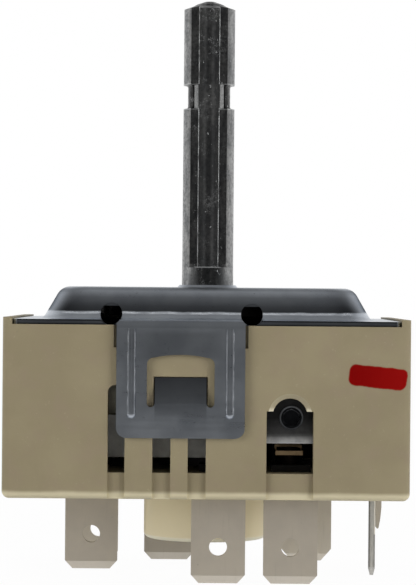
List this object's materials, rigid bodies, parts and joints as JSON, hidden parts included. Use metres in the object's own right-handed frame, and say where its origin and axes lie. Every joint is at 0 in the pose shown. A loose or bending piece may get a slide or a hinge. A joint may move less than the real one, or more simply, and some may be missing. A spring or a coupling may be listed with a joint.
{
  "type": "range surface element switch",
  "caption": "Rotary energy regulator for an electric range's surface element: boxed housing, clipped steel cover, slotted push-and-turn shaft and blade terminals below.",
  "frame": {"origin": "on the shaft's axis at the top face of the cover's dome, midway between the two fixing holes", "axes": "+Z along the shaft away from the housing, -Y the front with the windows, +X to the right seen from the front"},
  "size_m": [0.047, 0.038, 0.0692],
  "materials": {
    "thermoset": "satin cream thermoset moulding",
    "zinc_sheet": "dull zinc-plated pressed sheet",
    "die_cast": "tumbled zinc die casting, mottled",
    "dark_moulding": "dark phenolic moulding",
    "spring_steel": "plain spring steel",
    "lever_steel": "dull grey steel",
    "black_steel": "black oxide steel",
    "copper_alloy": "rolled copper alloy strip",
    "silver_contact": "plain silver rivet",
    "ceramic_plate": "unglazed ceramic",
    "tinned_tab": "tinned strip, warm grey"
  },
  "bodies": {
    "base": {"housing": "thermoset", "cover": "zinc_sheet", "shaft_spring": "spring_steel", "lever_pin": "spring_steel", "bimetal_bracket": "zinc_sheet", "snap_carrier": "copper_alloy", "snap_rivet": "copper_alloy", "fixed_contact": "silver_contact", "pole_blade_left": "copper_alloy", "pole_blade_rear": "copper_alloy", "pole_contacts": "silver_contact", "detent_spring": "spring_steel", "terminal_front_center": "tinned_tab", "terminal_front_right": "tinned_tab", "terminal_left": "tinned_tab", "terminal_left_rear": "tinned_tab", "terminal_rear_left": "tinned_tab", "terminal_rear_right": "tinned_tab", "terminal_side": "tinned_tab", "side_lug": "tinned_tab"},
    "cam": {"cam_wheel": "dark_moulding"},
    "shaft": {"shaft": "die_cast"},
    "lever": {"set_lever": "lever_steel", "calibration_screw": "black_steel"},
    "bimetal": {"bimetal_strip": "lever_steel", "bimetal_rivets": "copper_alloy", "heater_plate": "ceramic_plate", "push_pin": "ceramic_plate"},
    "snap": {"snap_blade": "copper_alloy", "moving_contact": "silver_contact"}
  },
  "joints": [
    {"name": "shaft_turn", "type": "hinge", "parent": "base", "child": "cam", "pos_m": [0, 0, 0], "axis": [0, 0, -1], "range_deg": [0, 285], "deforming": ["pole_blade_left", "pole_blade_rear", "detent_spring"]},
    {"name": "shaft_push", "type": "slide", "parent": "cam", "child": "shaft", "axis": [0, 0, -1], "range_m": [0, 0.002], "stiffness_N_per_m": 1500, "springref_m": -0.002, "deforming": ["shaft_spring"]},
    {"name": "lever_swing", "type": "hinge", "parent": "base", "child": "lever", "pos_m": [0.015, -0.009, -0.012], "axis": [0, 0, -1], "range_deg": [0, 7.8]},
    {"name": "bimetal_bend", "type": "hinge", "parent": "base", "child": "bimetal", "pos_m": [-0.018, -0.0106, -0.0132], "axis": [0, 0, 1], "range_deg": [0, 0.41], "stiffness_Nm_per_rad": 0.2},
    {"name": "snap_bend", "type": "hinge", "parent": "base", "child": "snap", "pos_m": [0.0097, -0.0085, -0.0185], "axis": [-1, 0, 0], "range_deg": [0, 4.8]}
  ],
  "couplings": [
    {"joint": "lever_swing", "follows": "shaft_turn", "ratio": 0.027065},
    {"joint": "snap_bend", "follows": "bimetal_bend", "ratio": 11.542}
  ]
}
